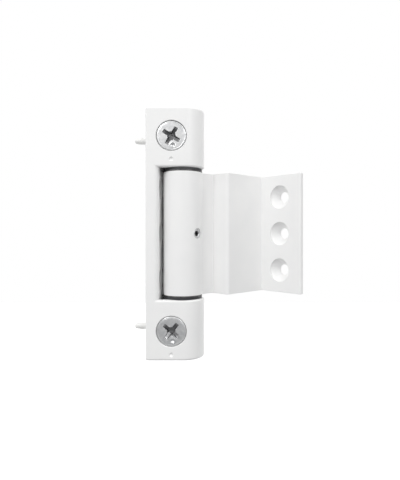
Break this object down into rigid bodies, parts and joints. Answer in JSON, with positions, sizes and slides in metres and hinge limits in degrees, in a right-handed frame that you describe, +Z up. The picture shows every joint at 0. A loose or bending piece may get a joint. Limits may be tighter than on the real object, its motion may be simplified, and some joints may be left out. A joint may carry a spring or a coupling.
{
  "type": "adjustable flag hinge",
  "caption": "Laterally adjustable flag hinge: D-section lugged body with eccentric adjusters, and a knuckle whose cranked leaf swings about a locked pin.",
  "frame": {"origin": "centre of the middle body-fixing hole, on the plane of the body that lies against the frame", "axes": "+X out of the fixing plane through the body, +Z up along the pivot axis, +Y away from the side that carries the adjusters; the pivot axis is stored at X 16.95 mm, Y 1.5 mm"},
  "size_m": [0.0823, 0.03, 0.12],
  "materials": {
    "white_powder_coat": "satin gloss white powder coat on extruded aluminium",
    "plated_steel": "satin zinc plate",
    "bright_steel": "ground steel",
    "dark_steel": "blackened steel",
    "cast_zinc": "as-cast zinc alloy",
    "dark_bush": "black bearing plastic",
    "white_nylon": "moulded white nylon"
  },
  "bodies": {
    "body": {"hinge_body": "white_powder_coat", "upper_locating_peg": "white_nylon", "lower_locating_peg": "white_nylon", "upper_end_plug": "white_nylon", "lower_end_plug": "white_nylon", "upper_adjuster_spring": "bright_steel", "lower_adjuster_spring": "bright_steel"},
    "carriage": {"upper_carrier": "cast_zinc", "lower_carrier": "cast_zinc", "upper_bush": "dark_bush", "lower_bush": "dark_bush"},
    "flag": {"flag_leaf": "white_powder_coat", "pivot_pin": "bright_steel", "pin_lock_screw": "plated_steel", "upper_thrust_washer": "dark_steel", "lower_thrust_washer": "dark_steel"},
    "upper_eccentric": {"upper_adjuster": "plated_steel", "upper_adjuster_clip": "dark_steel"},
    "lower_eccentric": {"lower_adjuster": "plated_steel", "lower_adjuster_clip": "dark_steel"}
  },
  "joints": [
    {"name": "carriage_shift", "type": "slide", "parent": "body", "child": "carriage", "axis": [1, 0, 0], "range_m": [-0.001, 0.0014]},
    {"name": "flag_swing", "type": "hinge", "parent": "carriage", "child": "flag", "pos_m": [0.01695, 0.0015, 0], "axis": [0, 0, 1], "range_deg": [-135, 45]},
    {"name": "upper_adjuster_turn", "type": "hinge", "parent": "body", "child": "upper_eccentric", "pos_m": [0.0122, -0.008, 0.04615], "axis": [0, -1, 0], "range_deg": [-61.6, 44]},
    {"name": "lower_adjuster_turn", "type": "hinge", "parent": "body", "child": "lower_eccentric", "pos_m": [0.0122, -0.008, -0.04615], "axis": [0, -1, 0], "range_deg": [-61.6, 44]}
  ],
  "couplings": [
    {"joint": "upper_adjuster_turn", "follows": "carriage_shift", "rad_per_m": -766},
    {"joint": "lower_adjuster_turn", "follows": "carriage_shift", "rad_per_m": -766}
  ]
}
